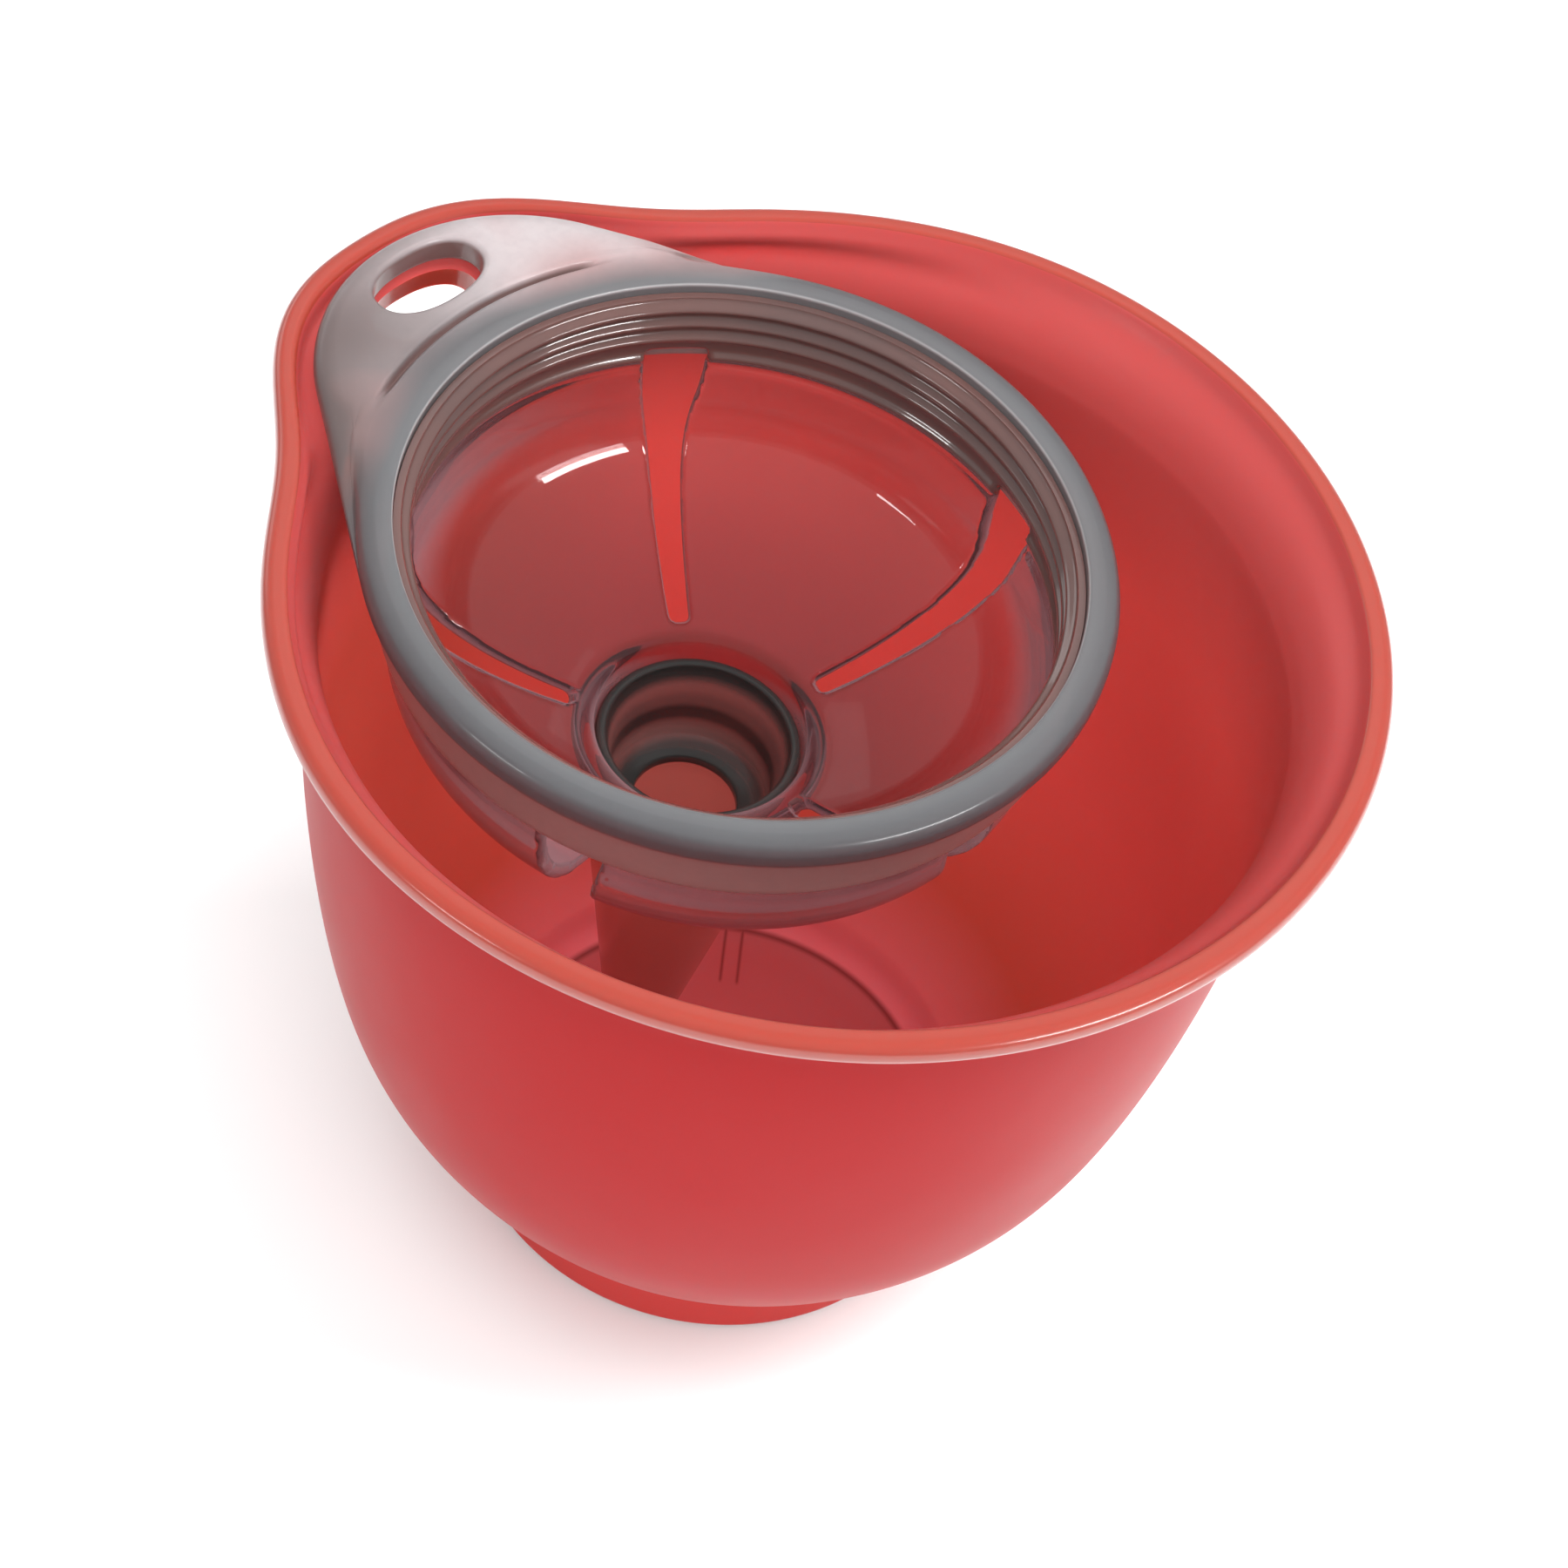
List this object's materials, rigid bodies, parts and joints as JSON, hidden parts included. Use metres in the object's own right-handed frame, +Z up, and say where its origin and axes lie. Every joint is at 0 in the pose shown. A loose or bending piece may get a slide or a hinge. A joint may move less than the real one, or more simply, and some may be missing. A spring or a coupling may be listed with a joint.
{
  "type": "egg separator with mixing bowl",
  "caption": "Small mixing bowl with a rolled rim and a hanging tab; a slotted cup with a ring, a handle and a tapered centre well hangs in it from the tab.",
  "frame": {"origin": "middle of the flat face under the non-slip base, on the bowl's axis", "axes": "+Z up along the bowl's axis, +Y towards the hanging tab, +X to the right seen with the tab at the back"},
  "size_m": [0.1498, 0.1601, 0.1245],
  "materials": {
    "red_plastic": "satin outside, semi-gloss inside, translucent",
    "red_soft": "matte",
    "grey_satin": "satin, translucent",
    "grey_gloss": "glossy, clear smoky grey",
    "grey_well": "semi-gloss, smoky grey"
  },
  "bodies": {
    "bowl": {"bowl": "red_plastic", "non_slip_base": "red_soft"},
    "separator": {"separator_rim": "grey_satin", "slotted_cup": "grey_gloss", "centre_well": "grey_well"}
  },
  "joints": [
    {"name": "separator_lift", "type": "slide", "parent": "bowl", "child": "separator", "axis": [0, 0, 1], "range_m": [0, 0.128]}
  ]
}
